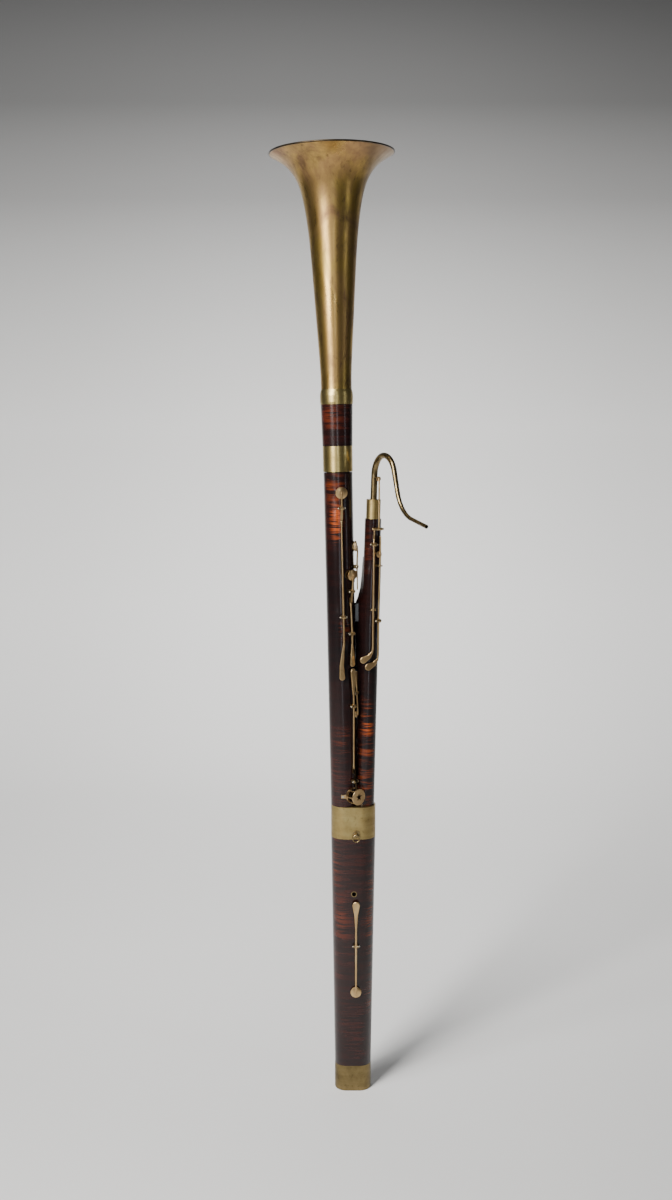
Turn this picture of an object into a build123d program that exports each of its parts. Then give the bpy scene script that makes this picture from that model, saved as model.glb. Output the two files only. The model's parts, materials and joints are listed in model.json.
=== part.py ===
# An early bassoon with a brass bell, in millimetres. The origin is the centre of the butt cap's foot,
# +Z is up, the thumb keys face -Y, the wing joint stands at +X and the long joint at -X.
import os
from math import cos, hypot, pi, radians, sin

from build123d import *

# Driving dimensions.
butt_height = 432
butt_foot_size = (53, 35)
butt_top_size = (64, 42)
cap_height = 39
band_height = 47
sheet = 1.2
tenon_length = 40
fit_gap = 0.05
clear_gap = 0.4

# The two upper joints stand in the butt and lean apart: x at the butt's top, and x per unit of height.
long_place = (-12.7, -0.0200)
wing_place = (16.6, 0.0253)
long_length = 478
long_radius = (19.5, 20.25)
long_bore = (11.6, 14.6)
long_tenon_radius = 15.0
wing_length = 413
wing_radius = (13.5, 11.55)
wing_bore = (6.4, 2.9)
wing_tenon_radius = 9.4
bore_spread = 11.5
butt_small_bore = (7.0, 8.2)
butt_large_bore = (8.5, 11.2)

# Bell: heights above the floor.
bell_foot = 909.8
ring_top = 945.4
stub_top = 1002.6
ferrule_top = 1023.5
bell_skin = 0.8
bell_outline = [(20.5, 1003.2), (20.5, 1024), (20.4, 1041), (22.3, 1074), (24.4, 1106), (26.4, 1138),
                (28.4, 1171), (30.4, 1203), (33, 1234), (37.2, 1266), (41, 1285), (45.5, 1300),
                (53, 1314), (65, 1327.5), (84.2, 1338.2)]
rim_wire = 1.2
bell_tenon_radius = 17.1

# Keywork.
pin_radius = 0.8
shaft_radius = 1.4
hub_radius = 2.3
cheek = 1.1
bend_radius = 7.7
tongue = 1.0
seat_rise = 0.8
pad_gap = 0.1
pad_proud = 0.8
cup_height = 1.8
cup_dome = 1.5
touch_thick = 2.2
touch_edge = 1.1

ON_BASE = (Align.CENTER, Align.CENTER, Align.MIN)


def mix(pair, part):
    return pair[0] + (pair[1] - pair[0]) * part


def leaning(place):
    x, lean = place
    return Plane(origin=(x, 0, butt_height), x_dir=(1, 0, -lean), z_dir=(lean, 0, 1)).location


def span(start, end, radius, end_radius=None):
    """A rod or cone from one point to another."""
    start, end = Vector(*start), Vector(*end)
    length = (end - start).length
    frame = Plane(origin=start, z_dir=end - start).location
    if end_radius is None or abs(end_radius - radius) < 0.001:
        return frame * Cylinder(radius, length, align=ON_BASE)
    return frame * Cone(radius, end_radius, length, align=ON_BASE)


def chain(*stations):
    """A rod through (x, y, z, radius) stations, with a ball at each."""
    whole = None
    for x, y, z, radius in stations:
        ball = Pos(x, y, z) * Sphere(radius)
        whole = ball if whole is None else whole + ball
    for a, b in zip(stations, stations[1:]):
        whole += span(a[:3], b[:3], a[3], b[3])
    return whole


def ball_pin(half, radius, ball):
    """A pin along Z with a ball centred at each end."""
    join = half - (ball * ball - radius * radius) ** 0.5
    side = ThreePointArc((0, 0, -half - ball), (ball, 0, -half), (radius, 0, -join))
    side += Line((radius, 0, -join), (radius, 0, join))
    side += ThreePointArc((radius, 0, join), (ball, 0, half), (0, 0, half + ball))
    side += Line((0, 0, half + ball), (0, 0, -half - ball))
    return revolve(make_face(side), Axis.Z)


def turned(*points):
    """A solid turned about Z from (radius, height) points."""
    return revolve(make_face(Polyline(*[(r, 0, z) for r, z in points], close=True)), Axis.Z)


def tube(outer, inner, low, high):
    return turned((inner, low), (outer, low), (outer, high), (inner, high))


def block(x, y, z):
    """A box from (low, high) pairs."""
    return Pos((x[0] + x[1]) / 2, (y[0] + y[1]) / 2, (z[0] + z[1]) / 2) * Box(
        x[1] - x[0], y[1] - y[0], z[1] - z[0])


def plate(outline, low, high, edge=0.4):
    """A flat piece with its outer edge eased."""
    solid = Pos(0, 0, low) * extrude(outline, high - low)
    return fillet(solid.edges().group_by(Axis.Z)[-1], edge)


def hull(*circles):
    edges = ShapeList()
    for x, y, radius in circles:
        edges += (Pos(x, y) * Circle(radius)).edges()
    return make_hull(edges)


def slot_loft(low, high):
    """The butt's flattened oval body between two heights, grown or shrunk by an amount."""
    (z0, grow0), (z1, grow1) = low, high
    sections = []
    for z, grow in ((z0, grow0), (z1, grow1)):
        part = (z - cap_height) / (butt_height - band_height - cap_height)
        part = min(max(part, 0), 1)
        wide = mix((butt_foot_size[0], butt_top_size[0]), part) + 2 * grow
        deep = mix((butt_foot_size[1], butt_top_size[1]), part) + 2 * grow
        sections.append(Pos(0, 0, z) * SlotOverall(wide, deep))
    return loft(sections, ruled=True)


def save(name, *shapes):
    solids = [solid for shape in shapes for solid in shape.solids()]
    export_step(solids[0] if len(solids) == 1 else Compound(children=solids), f"parts/{name}.step")


class Side:
    """A line up the side of a joint. Seen from outside: X right, Y up the joint, Z out from its axis."""

    def __init__(self, place, angle, base, reach):
        turn = radians(angle)
        frame = Plane(origin=(0, 0, 0), x_dir=(cos(turn), sin(turn), 0), z_dir=(sin(turn), -cos(turn), 0))
        self.place = place * frame.location
        self.base = base
        self.reach = reach

    def up(self, height):
        return height - self.base

    def put(self, shape):
        return self.place * shape


def long_side(angle):
    def reach(height):
        return mix(long_radius, (height - butt_height) / long_length)
    return Side(leaning(long_place), angle, butt_height, reach)


def wing_side(angle):
    def reach(height):
        return mix(wing_radius, (height - butt_height) / wing_length)
    return Side(leaning(wing_place), angle, butt_height, reach)


def butt_side(angle, x):
    def reach(height):
        part = (height - cap_height) / (butt_height - band_height - cap_height)
        return mix((butt_foot_size[1], butt_top_size[1]), part) / 2
    return Side(Pos(x, 0, 0), angle, 0, reach)


class Fittings:
    """What is let into one wooden joint, kept by kind so that each kind becomes one node."""

    def __init__(self):
        self.saddles = []
        self.pins = []
        self.springs = []
        self.rings = []
        self.holes = []

    def cut_from(self, wood):
        for solid in self.holes + self.saddles + self.springs + self.rings:
            wood = wood - solid
        return wood

    def saddle(self, side, height, rise, half, across=0):
        """Two cheeks on a let-in foot, with a ball-ended pin across them."""
        y, surface = side.up(height), side.reach(height)
        out = surface + rise
        width = half + clear_gap + cheek
        foot = block((across - width, across + width), (y - 2.6, y + 2.6), (surface - 2.4, surface + 0.5))
        body = foot
        for sign in (-1, 1):
            inner, outer = sorted((across + sign * (width - cheek), across + sign * width))
            body += block((inner, outer), (y - 2.6, y + 2.6), (surface, out))
            body += Pos((inner + outer) / 2, y, out) * Rot(0, 90, 0) * Cylinder(2.6, cheek)
        body -= Pos(across, y, out) * Rot(0, 90, 0) * Cylinder(pin_radius + 0.02, 3 * width)
        pin = Pos(across, y, out) * Rot(0, 90, 0) * ball_pin(width + 1.2, pin_radius, 1.25)
        self.saddles.append(side.put(body))
        self.pins.append(side.put(pin))

    def guide(self, side, height, across, half, top):
        """A let-in strap with a ball-topped post each side of a shaft."""
        y, surface = side.up(height), side.reach(height)
        width = half + 1.4
        foot = block((across - width, across + width), (y - 1.8, y + 1.8), (surface - 2.2, surface + 0.4))
        for sign in (-1, 1):
            post = across + sign * (half + 0.7)
            foot += span((post, y, surface - 1), (post, y, surface + top), 0.7)
            foot += Pos(post, y, surface + top) * Sphere(1.2)
        self.saddles.append(side.put(foot))

    def spring(self, side, pivot, way, rise, across=0, length=26):
        """A leaf let into the wood at one end and bowed up to just short of its lever."""
        y, surface = side.up(pivot), side.reach(pivot)
        tip = surface + rise - hub_radius - 0.2
        far, bend = y + way * length, y + way * (length - 7)
        outline = [(far, surface - 1.2), (far - way * 3, surface - 1.2), (far - way * 3, surface + 0.08),
                   (bend, surface + 0.12), (y + way * 5.5, tip), (y + way * 5.5, tip + 0.4),
                   (bend, surface + 0.55), (far, surface + 0.55)]
        face = make_face(Polyline(*[(across - 1.1, a, b) for a, b in outline], close=True))
        self.springs.append(side.put(extrude(face, 2.2, dir=(1, 0, 0))))

    def seat(self, side, height, radius, hole, across=0, depth=2.6):
        """A raised ring round a tone hole, and the hole down into the bore."""
        y, surface = side.up(height), side.reach(height)
        ring = Pos(across, y, surface - depth) * Cylinder(radius, depth + seat_rise, align=ON_BASE)
        bore = Pos(across, y, 2) * Cylinder(hole, surface + 4, align=ON_BASE)
        self.rings.append(side.put(ring - bore))
        self.holes.append(side.put(bore))


def cover(radius):
    """A domed key cup, mouth down at Z = 0."""
    wall = 0.7
    edge = make_face(
        Polyline((0, 0, 1), (radius - wall, 0, 1), (radius - wall, 0, 0), (radius, 0, 0),
                 (radius, 0, cup_height))
        + ThreePointArc((radius, 0, cup_height), (radius * 0.6, 0, cup_height + cup_dome * 0.72),
                        (0, 0, cup_height + cup_dome))
        + Line((0, 0, cup_height + cup_dome), (0, 0, 1)))
    return revolve(edge, Axis.Z)


def pad(radius):
    return Pos(0, 0, -pad_proud) * Cylinder(radius - 0.75, pad_proud + 1, align=ON_BASE)


def tipped(shape, y, z, degrees):
    """The shape turned about the X line through (y, z)."""
    return Pos(0, y, z) * Rot(degrees, 0, 0) * Pos(0, -y, -z) * shape


def hub(across, y, z, half):
    return Pos(across, y, z) * Rot(0, 90, 0) * Cylinder(hub_radius, 2 * half)


def pin_hole(across, y, z):
    return Pos(across, y, z) * Rot(0, 90, 0) * Cylinder(pin_radius + fit_gap, 30)


def tongue_plate(across, low, high, z, half=1.6):
    return block((across - half, across + half), sorted((low, high)), (z - tongue / 2, z + tongue / 2))


def closed_height(side, height):
    """How far out a cup's mouth lies when its pad is down."""
    return side.reach(height) + seat_rise + pad_gap + pad_proud


def cover_lever(side, pivot, cup_at, cup_radius, tail_at, rise, lift, half=1.8):
    """The short lever of an open-standing key: cup, hub and tail, drawn shut and then lifted.

    It returns the lever, its pad, the angle that shuts it and the tail's height when open."""
    y, out = side.up(pivot), side.reach(pivot) + rise
    cup_y, tail_y = side.up(cup_at), side.up(tail_at)
    way = 1 if cup_y > y else -1
    mouth = closed_height(side, cup_at)
    top = mouth + cup_height + cup_dome
    angle = way * lift / abs(cup_y - y) * 180 / pi
    lever = Pos(0, cup_y, mouth) * cover(cup_radius)
    lever += chain((0, cup_y, top - 0.3, 1.2), (0, cup_y - way * cup_radius, top + 0.2, 1.2),
                   (0, y, out, 1.4))
    lever += hub(0, y, out, half)
    lever += tongue_plate(0, y, tail_y - way * 3, out)
    lever -= pin_hole(0, y, out)
    leather = Pos(0, cup_y, mouth) * pad(cup_radius)
    travel = radians(abs(angle)) * abs(tail_y - way * 3 - y)
    return tipped(lever, y, out, angle), tipped(leather, y, out, angle), abs(angle), out - travel


def touch_lever(side, pivot, rise, tip_at, tip_out, touch, half=1.8):
    """The long lever of an open-standing key: hub, shaft to a thin tip, and a touch."""
    y, out = side.up(pivot), side.reach(pivot) + rise
    tip_y = side.up(tip_at)
    way = 1 if tip_y > y else -1
    lever = chain((0, y, out, 1.5), (0, tip_y - way * 6, tip_out + 0.4, 1.2))
    lever += tongue_plate(0, tip_y - way * 8, tip_y + way * 3, tip_out)
    lever += hub(0, y, out, half)
    lever += touch
    return lever - pin_hole(0, y, out)


# ---- Butt joint
butt_thumb = butt_side(0, 4)
butt_front_f = butt_side(180, 4)
butt_front_ab = butt_side(180, -13)
band_foot = butt_height - band_height
long_frame, wing_frame = leaning(long_place), leaning(wing_place)
plate_top = 24
gasket = 1.5
wood_foot = plate_top + gasket

butt_fit = Fittings()
wood_grow = -sheet - 0.02
body = slot_loft((wood_foot, wood_grow), (cap_height, wood_grow))
body += slot_loft((cap_height, 0), (band_foot, 0))
body += slot_loft((band_foot, wood_grow), (butt_height - 0.6, wood_grow))
long_drift = long_place[1] * tenon_length
wing_drift = wing_place[1] * tenon_length
socket_floor = butt_height - tenon_length - 1
for place, radius in ((long_frame, long_tenon_radius), (wing_frame, wing_tenon_radius)):
    socket = Cylinder(radius + fit_gap, tenon_length + 8, align=ON_BASE)
    body -= place * (Pos(0, 0, -tenon_length - 1) * socket)
body -= span((-bore_spread, 0, wood_foot - 1), (long_place[0] - long_drift, 0, socket_floor + 2),
             *butt_large_bore)
body -= span((bore_spread, 0, wood_foot - 1), (wing_place[0] - wing_drift, 0, socket_floor + 2),
             butt_small_bore[1], butt_small_bore[0])

# Thumb side: the thumb hole and the F sharp key. Front: three finger holes, the F key and the A flat key.
thumb_hole_at = 303
thumb_ring = Pos(1, 0, thumb_hole_at) * Rot(90, 0, 0)
ring_out = butt_thumb.reach(thumb_hole_at) + 0.3
thumb_liner = thumb_ring * tube(4.2, 3.3, ring_out - 5, ring_out)
butt_fit.rings.append(thumb_liner)
butt_fit.holes.append(thumb_ring * (Pos(0, 0, 6) * Cylinder(3.3, 30, align=ON_BASE)))
for finger_x, finger_z in ((10, 352), (11, 312), (12, 268)):
    butt_fit.holes.append(span((finger_x, 30, finger_z), (finger_x + 1, 2, finger_z - 6), 3.2))

sharp_pivot, sharp_rise = 225.5, 4.2
sharp_cup, sharp_touch = 155, 288
butt_fit.saddle(butt_thumb, sharp_pivot, sharp_rise, 1.8)
butt_fit.spring(butt_thumb, sharp_pivot, 1, sharp_rise, length=34)
butt_fit.seat(butt_thumb, sharp_cup, 7.0, 4.5)
y, out = sharp_pivot, butt_thumb.reach(sharp_pivot) + sharp_rise
mouth = closed_height(butt_thumb, sharp_cup)
touch_out = butt_thumb.reach(sharp_touch) + 4.0
sharp_top = touch_out + touch_thick
f_sharp_key = plate(hull((0, sharp_touch, 5.4), (0, sharp_touch - 14, 2.7)), touch_out, sharp_top, touch_edge)
f_sharp_key += plate(hull((0, sharp_touch - 13, 2.8), (0, sharp_touch - 34, 1.5)),
                     touch_out, sharp_top, touch_edge)
f_sharp_key += chain((0, sharp_touch - 32, touch_out + 0.6, 1.4), (0, y, out, 1.5),
                     (0, sharp_cup + 22, out + 0.3, 1.4), (0, sharp_cup + 10, mouth + 3.6, 1.3),
                     (0, sharp_cup, mouth + 3.2, 1.2))
f_sharp_key += Pos(0, sharp_cup, mouth) * cover(7.85)
f_sharp_key += hub(0, y, out, 1.8)
f_sharp_key -= pin_hole(0, y, out)
pieces = {"f_sharp_key": butt_thumb.put(f_sharp_key),
          "f_sharp_pad": butt_thumb.put(Pos(0, sharp_cup, mouth) * pad(7.85))}

# The F key stands open: its pivot is above its touch, so a press on the touch brings the cup down.
f_pivot, f_rise, f_touch, f_cup, f_lift = 222, 5.0, 182, 98, 4.2
butt_fit.saddle(butt_front_f, f_pivot, f_rise, 1.8)
butt_fit.spring(butt_front_f, f_pivot, -1, f_rise, length=30)
butt_fit.seat(butt_front_f, f_cup, 9.0, 6.5)
y, out = f_pivot, butt_front_f.reach(f_pivot) + f_rise
mouth = closed_height(butt_front_f, f_cup)
f_key = chain((0, y, out, 1.6), (0, f_cup + 14, mouth + 4.6, 1.5), (0, f_cup, mouth + 3.4, 1.3))
f_key += Pos(0, f_cup, mouth) * cover(10)
f_touch_out = mix((mouth + 4.6, out), (f_touch - f_cup - 14) / (f_pivot - f_cup - 14))
f_key += plate(hull((-1, f_touch + 9, 2.2), (-4.5, f_touch - 5, 6)),
               f_touch_out, f_touch_out + touch_thick, touch_edge)
f_key += hub(0, y, out, 1.8)
f_key -= pin_hole(0, y, out)
f_angle = f_lift / (f_pivot - f_cup) * 180 / pi
pieces["f_key"] = butt_front_f.put(tipped(f_key, y, out, -f_angle))
pieces["f_pad"] = butt_front_f.put(tipped(Pos(0, f_cup, mouth) * pad(10), y, out, -f_angle))

# A wire bow over the F key's cup.
guard_rise = 13
surface = butt_front_f.reach(f_cup)
bow = chain((0, f_cup - 15, surface - 2, 1.3), (0, f_cup - 15, surface + 8, 1.3),
            (0, f_cup - 10, surface + guard_rise, 1.3))
bow += chain((0, f_cup - 10, surface + guard_rise, 1.3), (-11, f_cup + 6, surface + guard_rise, 1.3),
             (-13.5, f_cup + 9, surface + 8, 1.3), (-13.5, f_cup + 9, surface - 8, 1.3))
bow += chain((0, f_cup - 10, surface + guard_rise, 1.3), (11, f_cup + 6, surface + guard_rise, 1.3),
             (13.5, f_cup + 9, surface + 8, 1.3), (13.5, f_cup + 9, surface - 8, 1.3))
f_key_guard = butt_front_f.put(bow)

ab_pivot, ab_rise, ab_touch, ab_cup = 160, 4.2, 186, 132
butt_fit.saddle(butt_front_ab, ab_pivot, ab_rise, 1.6)
butt_fit.spring(butt_front_ab, ab_pivot, 1, ab_rise, length=20)
butt_fit.seat(butt_front_ab, ab_cup, 5.2, 3.2)
y, out = ab_pivot, butt_front_ab.reach(ab_pivot) + ab_rise
mouth = closed_height(butt_front_ab, ab_cup)
ab_out = butt_front_ab.reach(ab_touch) + 3.8
a_flat_key = plate(hull((-1, ab_touch, 5.2), (0, ab_touch - 14, 2)), ab_out, ab_out + touch_thick, touch_edge)
a_flat_key += chain((0, ab_touch - 13, ab_out + 0.8, 1.4), (0, y, out, 1.5),
                    (0, ab_cup + 6, mouth + 3.9, 1.3), (0, ab_cup, mouth + 3.2, 1.2))
a_flat_key += Pos(0, ab_cup, mouth) * cover(6)
a_flat_key += hub(0, y, out, 1.6)
a_flat_key -= pin_hole(0, y, out)
pieces["a_flat_key"] = butt_front_ab.put(a_flat_key)
pieces["a_flat_pad"] = butt_front_ab.put(Pos(0, ab_cup, mouth) * pad(6))

body = butt_fit.cut_from(body)
butt_wood = body - f_key_guard

butt_band = slot_loft((band_foot, 0.05), (butt_height, 0.05)) - slot_loft(
    (band_foot - 1, wood_grow + 0.02), (butt_height + 1, wood_grow + 0.02))
lip = slot_loft((butt_height - 0.55, -0.5), (butt_height, -0.5))
for place, radius in ((long_frame, long_tenon_radius), (wing_frame, wing_tenon_radius)):
    lip -= place * (Pos(0, 0, -tenon_length) * Cylinder(radius + 0.3, tenon_length + 9, align=ON_BASE))
butt_band += lip

cap_outer = slot_loft((0, 0.05), (cap_height, 0.05))
cap_outer = fillet(cap_outer.edges().group_by(Axis.Z)[0], 1.2)
butt_cap = cap_outer - slot_loft((sheet, wood_grow + 0.02), (cap_height + 1, wood_grow + 0.02))

# U-tube on its plate, under a cork gasket.
bend_at = Pos(bore_spread, 0, plate_top - 2)
bend_axis = Axis((0, 0, plate_top - 2), (0, 1, 0))
bend = revolve(bend_at * Circle(bend_radius), bend_axis, 180)
hollow = revolve(bend_at * Circle(bend_radius - 0.7), bend_axis, 180)
flange = slot_loft((plate_top - 2, wood_grow - 1), (plate_top, wood_grow - 1))
gasket_sheet = slot_loft((plate_top, wood_grow - 1), (wood_foot, wood_grow - 1))
for side_x in (-bore_spread, bore_spread):
    hollow += Pos(side_x, 0, plate_top - 2) * Cylinder(bend_radius - 0.7, 6, align=ON_BASE)
u_tube = bend + flange - hollow
gasket_sheet -= hollow

# Strap post on the band, with its ring hanging through it.
post_x, post_z, post_y = 4, 393, -26.4
band_face = -butt_top_size[1] / 2
strap_post = Pos(post_x, band_face - 0.05, post_z) * Rot(90, 0, 0) * Cylinder(5, 1.8, align=ON_BASE)
strap_post += block((post_x - 1.5, post_x + 1.5), (post_y, band_face - 1), (post_z - 3, post_z + 3))
strap_post += Pos(post_x, post_y, post_z) * Rot(0, 90, 0) * Cylinder(3, 3)
strap_post -= Pos(post_x, post_y, post_z) * Rot(0, 90, 0) * Cylinder(1.5, 10)
ring_middle = 5.0
strap_ring = Pos(post_x, post_y, post_z - ring_middle) * Rot(90, 0, 0) * Torus(ring_middle, 0.8)

# ---- Long joint
long_fit = Fittings()
lap_low, lap_high = -34, -8


long_body = Cone(long_radius[0], long_radius[1], long_length - 0.5, align=ON_BASE)
foot_trim = block((-60, 60), (-60, 60), (butt_height - 30, butt_height + 0.15))
long_wood = long_frame * (Pos(0, 0, -0.5) * long_body) - foot_trim
long_wood += long_frame * (Pos(0, 0, -tenon_length) * Cylinder(long_tenon_radius - 0.25, tenon_length + 2,
                                                              align=ON_BASE))
bell_joint = long_length - 0.5
long_wood += long_frame * (Pos(0, 0, bell_joint - 2) * Cylinder(bell_tenon_radius - 0.25, 34, align=ON_BASE))
long_wood -= long_frame * (Pos(0, 0, -tenon_length - 1)
                           * Cone(long_bore[0], long_bore[1], bell_joint + tenon_length + 35, align=ON_BASE))
long_wood -= long_frame * tube(long_tenon_radius + 1, long_tenon_radius - 1.1, lap_low, lap_high)
bell_lap = (bell_joint + 6, bell_joint + 27)
long_wood -= long_frame * tube(bell_tenon_radius + 1, bell_tenon_radius - 1, *bell_lap)
long_lapping = long_frame * tube(long_tenon_radius, long_tenon_radius - 1.08, lap_low + 0.02, lap_high - 0.02)
bell_lapping = long_frame * tube(bell_tenon_radius, bell_tenon_radius - 0.98,
                                 bell_lap[0] + 0.02, bell_lap[1] - 0.02)

# Each open-standing key is a cover lever pushed by the tip of a touch lever.
open_keys = {
    "low_b_flat": dict(angle=9, cover_pivot=860, cup=881, cup_radius=8.25, tail=847, rise=6.0, lift=4.0,
                       hole=6, touch_pivot=707.5, touch_rise=4.5),
    "low_c": dict(angle=40, cover_pivot=743, cup=766, cup_radius=7.75, tail=731, rise=6.0, lift=4.0,
                  hole=5.5, touch_pivot=683, touch_rise=4.5),
    "low_d": dict(angle=41, cover_pivot=470, cup=448, cup_radius=7.25, tail=484, rise=5.6, lift=3.2,
                  hole=5, touch_pivot=579, touch_rise=4.5),
}


def leaf(side, low, *stations):
    """A crowned blade through (across, height, half width) stations, and the point where its shaft starts."""
    circles = [(across, side.up(height), half) for across, height, half in stations]
    blade = None
    for (x, y, half), upper in zip(circles, circles[1:]):
        back = 0.6 if upper[1] < y else -0.6
        segment = plate(hull((x, y + back, half), upper), low, low + touch_thick, touch_edge)
        blade = segment if blade is None else blade + segment
    across, neck, _ = circles[-1]
    return blade, (across, neck - 2 if neck > circles[0][1] else neck + 2, low + 1.1)


def long_touch(name, side):
    """The flat finger end of each long thumb key."""
    if name == "low_b_flat":
        return leaf(side, side.reach(640) + 3.6,
                    (-3.4, 622.5, 4.1), (-3.9, 638, 3.2), (-2.2, 655, 2.1), (0, 670, 1.5))
    low = side.reach(640) + 3.2
    if name == "low_c":
        return leaf(side, low, (0, 640.6, 4.0), (0, 652, 3.3), (0, 667, 1.6))
    return leaf(side, low, (0, 629, 3.9), (0.3, 616, 3.3), (0.2, 597, 1.6))


hinges = {}
for name, key in open_keys.items():
    side = long_side(key["angle"])
    lever, leather, angle, tail_out = cover_lever(side, key["cover_pivot"], key["cup"], key["cup_radius"],
                                                  key["tail"], key["rise"], key["lift"])
    blade, neck = long_touch(name, side)
    pivot_y = side.up(key["touch_pivot"])
    pivot_out = side.reach(key["touch_pivot"]) + key["touch_rise"]
    arm = chain((*neck, 1.3), (0, pivot_y, pivot_out, 1.5))
    long_lever = touch_lever(side, key["touch_pivot"], key["touch_rise"], key["tail"],
                             tail_out - tongue - 0.4, blade + arm)
    pieces[name + "_cover_lever"] = side.put(lever)
    pieces[name + "_pad"] = side.put(leather)
    pieces[name + "_touch_lever"] = side.put(long_lever)
    long_fit.saddle(side, key["cover_pivot"], key["rise"], 1.8)
    long_fit.saddle(side, key["touch_pivot"], key["touch_rise"], 1.8)
    touch_way = -1 if key["tail"] > key["touch_pivot"] else 1
    long_fit.spring(side, key["touch_pivot"], touch_way, key["touch_rise"])
    long_fit.seat(side, key["cup"], key["cup_radius"] - 0.7, key["hole"])
    hinges[name + "_touch"] = (side, key["touch_pivot"], pivot_out)
    hinges[name + "_cover"] = (side, key["cover_pivot"], side.reach(key["cover_pivot"]) + key["rise"], angle)

# A star-pierced plate on pillars guards the low D cup. Its foot is an open ring with a screwed lug.
guard_side = long_side(open_keys["low_d"]["angle"])
guard_at, guard_out, guard_radius = guard_side.up(448), guard_side.reach(448) + 12.4, 11.75
star_radii = (6.3, 2.6)
star_points = [(star_radii[n % 2] * sin(n * pi / 5), star_radii[n % 2] * cos(n * pi / 5)) for n in range(10)]
star = make_face(Polyline(*star_points, close=True))
guard = Pos(0, 0, guard_out - 1.2) * extrude(Circle(guard_radius), 1.2)
guard = fillet(guard.edges().group_by(Axis.Z)[-1], 0.4)
guard -= Pos(0, 0, guard_out - 3) * extrude(star, 5)
surface = guard_side.reach(448)
foot_ring = Pos(0, 0, surface - 5) * Cylinder(guard_radius, 5.8, align=ON_BASE)
foot_ring -= Pos(0, 0, surface - 6) * Cylinder(guard_radius - 1.8, 8, align=ON_BASE)
guard += foot_ring - block((2.6, 20), (-20, 20), (surface - 7, surface + 3))
for turn in (128, 180, 232, 285):
    x, y = (guard_radius - 0.95) * cos(radians(turn)), (guard_radius - 0.95) * sin(radians(turn))
    guard += span((x, y, surface - 3), (x, y, guard_out - 0.5), 0.85)
guard = guard_side.put(Pos(0, guard_at, 0) * guard)
lug_side = long_side(-2)
lug_surface = lug_side.reach(448)
lug = block((-3.8, 6.2), (guard_at - 2.6, guard_at + 2.6), (lug_surface - 2.2, lug_surface + 0.9))
guard += lug_side.put(lug)
long_fit.pins.append(lug_side.put(Pos(-1.4, guard_at, lug_surface + 0.9) * Cylinder(1.7, 0.9, align=ON_BASE)))

# The short closed key in the valley between the joints, and the closed key on the flank.
closed_keys = {
    "e_flat": dict(angle=59, pivot=597, cup=566, cup_radius=4.6, touch=(626, 606), hole=2.6, rise=4.0, way=1,
                   touch_radius=2.5),
    "flank": dict(angle=86, pivot=776, cup=805, cup_radius=7.6, touch=(746, 760), hole=5, rise=4.0, way=-1,
                  touch_radius=2.8),
}
for name, key in closed_keys.items():
    side = long_side(key["angle"])
    y, out = side.up(key["pivot"]), side.reach(key["pivot"]) + key["rise"]
    mouth = closed_height(side, key["cup"])
    cup_y = side.up(key["cup"])
    low = side.reach(key["touch"][0]) + 3.4
    tip, neck = side.up(key["touch"][0]), side.up(key["touch"][1])
    lever = plate(hull((0, tip, key["touch_radius"]), (0, neck, 1.4)), low, low + 1.7, 0.8)
    toward = 1 if cup_y > y else -1
    lever += chain((0, neck, low + 0.8, 1.2), (0, y, out, 1.3),
                   (0, cup_y - toward * key["cup_radius"], mouth + 3.6, 1.1), (0, cup_y, mouth + 3.1, 1.1))
    lever += Pos(0, cup_y, mouth) * cover(key["cup_radius"])
    lever += hub(0, y, out, 1.3)
    lever -= pin_hole(0, y, out)
    pieces[name + "_key"] = side.put(lever)
    pieces[name + "_pad"] = side.put(Pos(0, cup_y, mouth) * pad(key["cup_radius"]))
    long_fit.saddle(side, key["pivot"], key["rise"], 1.3)
    long_fit.spring(side, key["pivot"], key["way"], key["rise"], length=22)
    long_fit.seat(side, key["cup"], key["cup_radius"] - 0.7, key["hole"], depth=3.6)
    hinges[name] = (side, key["pivot"], out)

long_joint_wood = long_fit.cut_from(long_wood) - guard

# ---- Bell, on the long joint's axis
def on_axis(points):
    return [(r, z - butt_height) for r, z in points]


stub = turned(*on_axis([(15.2, bell_foot), (19.5, bell_foot), (19.5, ring_top), (21.0, ring_top),
                        (22.2, stub_top), (19.7, stub_top), (19.7, stub_top + 18), (18, stub_top + 18)]))
stub -= Pos(0, 0, bell_foot - butt_height - 1) * Cylinder(bell_tenon_radius + fit_gap, 36.5, align=ON_BASE)
bell_wood = long_frame * stub
bell_ring = long_frame * tube(20.75, 19.53, bell_foot - butt_height + 0.1, ring_top - butt_height - 0.02)
ferrule = turned(*on_axis([(20.55, stub_top + 0.02), (22.6, stub_top + 0.02), (22.9, stub_top + 3),
                           (23.0, stub_top + 12), (22.4, stub_top + 17), (21.2, ferrule_top),
                           (20.55, ferrule_top)]))
bell_ferrule = long_frame * ferrule
outer = [(r, z - butt_height) for r, z in bell_outline]
inner = []
for n, (r, z) in enumerate(outer):
    before, after = outer[max(n - 1, 0)], outer[min(n + 1, len(outer) - 1)]
    run, rise = after[0] - before[0], after[1] - before[1]
    inner.append((r - bell_skin * rise / hypot(run, rise), z + bell_skin * run / hypot(run, rise)))
profile = [(r, 0, z) for r, z in outer]
lining = [(r, 0, z) for r, z in inner]
edges = Line(profile[0], profile[1]) + Spline(*profile[1:]) + Line(profile[-1], lining[-1])
edges += Spline(*reversed(lining[1:])) + Line(lining[1], lining[0]) + Line(lining[0], profile[0])
flare = revolve(make_face(edges), Axis.Z)
rim = Pos(0, 0, outer[-1][1] + 0.2) * Torus(outer[-1][0] + 0.1, rim_wire)
bell_flare = long_frame * (flare - rim)
bell_rim = long_frame * rim

# ---- Wing joint
wing_fit = Fittings()
wing_top = wing_length - 0.5


def wing_at(height):
    return wing_place[0] + wing_place[1] * (height - butt_height)


def wing_round(height):
    return mix(wing_radius, (height - butt_height) / wing_length)


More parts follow.
